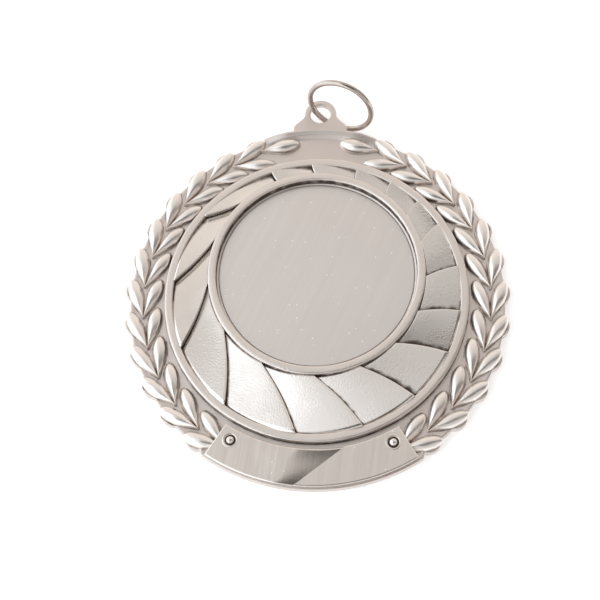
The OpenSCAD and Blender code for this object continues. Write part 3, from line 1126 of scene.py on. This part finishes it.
ring_centre = np.mean(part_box("jump_ring"), axis=0) / MM
lean, heading = math.radians(RING_LEAN), math.radians(RING_HEADING)
ring_down = -np.array(
    [
        -math.sin(lean) * math.cos(heading),
        -math.sin(lean) * math.sin(heading),
        math.cos(lean),
    ]
)
ring_across = np.array([-math.sin(heading), math.cos(heading), 0.0])
ring_axis = np.cross(ring_down, ring_across)
half_gap = SPLIT_GAP / 2 / RING_R
start = math.radians(SPLIT_AT) + half_gap
sweep = 2 * math.pi - 2 * half_gap
ends = np.array([0.0, 0.012, 0.035, 0.07]) / RING_R
between = np.linspace(start + 0.03, start + sweep - 0.03, RING_STEPS)
spins = np.concatenate([start + ends, between, start + sweep - ends[::-1]])
shrink = np.array([0.86, 0.94, 0.985, 1.0])
wire = np.concatenate([shrink, np.ones(RING_STEPS), shrink[::-1]]) * (WIRE_R - 0.004)
share = (spins - start) / sweep
offset = 0.05 * (share - 0.5) * np.abs(2 * share - 1) ** 8
rows = []
for spin, radius, shift in zip(spins, wire, offset):
    outward = math.cos(spin) * ring_down + math.sin(spin) * ring_across
    middle = ring_centre + outward * RING_R + ring_axis * shift
    turn = np.arange(WIRE_STEPS) * 2 * math.pi / WIRE_STEPS
    rows.append(
        middle
        + radius * np.outer(np.cos(turn), outward)
        + radius * np.outer(np.sin(turn), ring_axis)
    )
faces = grid_faces(len(rows), WIRE_STEPS, wrap=True)
faces.append(list(range(WIRE_STEPS)))
faces.append([(len(rows) - 1) * WIRE_STEPS + j for j in range(WIRE_STEPS)])
jump_ring = new_piece("split_ring", np.concatenate(rows), faces)
ring_wire = new_metal(
    "ring_wire",
    (0.54, 0.475, 0.43),
    roughness=0.18,
    smudges=0.12,
    scratches=0.6,
    grain=0.3,
    grain_scale=3800.0,
    crevices=0.0,
)
fit(jump_ring, ring_wire, "ring", "jump_ring")


# ---- Floor and light -------------------------------------------------------------------
# A white sheet under the medal, and a studio surround: a warm far wall, a bright panel on
# the left, a dark screen on the right, and the dim opening that the camera looks through.
FLOOR_HALF = 0.6
SURROUND = (0.73, 0.715, 0.70, 1.0)
FAR_WALL = (1.0, 0.945, 0.89, 1.0)
PANEL = (1.5, 1.6, 1.69, 1.0)
SCREEN = (0.12, 0.11, 0.1, 1.0)
OPENING = (0.12, 0.11, 0.10, 1.0)
OPENING_EDGE = (23.5, 19.0)

floor_mesh = bpy.data.meshes.new("floor")
corners = [(-1, -1), (1, -1), (1, 1), (-1, 1)]
floor_mesh.from_pydata(
    [(x * FLOOR_HALF, y * FLOOR_HALF, 0.0) for x, y in corners], [], [(0, 1, 2, 3)]
)
floor = bpy.data.objects.new("floor", floor_mesh)
bpy.context.scene.collection.objects.link(floor)
floor.location.z = -0.02 * MM
paper = bpy.data.materials.new("white_sheet")
paper.use_nodes = True
sheet = paper.node_tree.nodes["Principled BSDF"]
sheet.inputs["Base Color"].default_value = (0.95, 0.95, 0.95, 1)
sheet.inputs["Roughness"].default_value = 0.9
sheet.inputs["Emission Color"].default_value = (1, 1, 1, 1)
sheet.inputs["Emission Strength"].default_value = 0.42
floor_mesh.materials.append(paper)

world = bpy.data.worlds.new("studio")
bpy.context.scene.world = world
world.use_nodes = True
tree = world.node_tree
looking = tree.nodes.new("ShaderNodeTexCoord").outputs["Generated"]
axes = tree.nodes.new("ShaderNodeSeparateXYZ")
tree.links.new(looking, axes.inputs[0])
right, back = axes.outputs[0], axes.outputs[1]
light = blend_colour(tree, ramp(tree, back, 0.42, 0.68), SURROUND, FAR_WALL)
near_left = ramp(tree, right, -0.17, -0.34)
panel = maths(tree, "MULTIPLY", near_left, ramp(tree, back, 0.34, 0.26))
panel = maths(tree, "MAXIMUM", panel, ramp(tree, right, -0.55, -0.75))
light = blend_colour(tree, panel, light, PANEL)
near_right = ramp(tree, right, 0.05, 0.12)
screen = maths(tree, "MULTIPLY", near_right, ramp(tree, back, 0.135, 0.09))
screen = maths(tree, "MULTIPLY", screen, ramp(tree, back, -0.3, -0.15))
light = blend_colour(tree, screen, light, SCREEN)
facing = tree.nodes.new("ShaderNodeVectorMath")
facing.operation = "DOT_PRODUCT"
tree.links.new(looking, facing.inputs[0])
facing.inputs[1].default_value = to_camera
wide, narrow = (math.cos(math.radians(angle)) for angle in OPENING_EDGE)
opening = ramp(tree, facing.outputs["Value"], wide, narrow)
light = blend_colour(tree, opening, light, OPENING)
tree.links.new(light, tree.nodes["Background"].inputs["Color"])
tree.nodes["Background"].inputs["Strength"].default_value = 1.0
bpy.context.scene.view_settings.view_transform = "Standard"
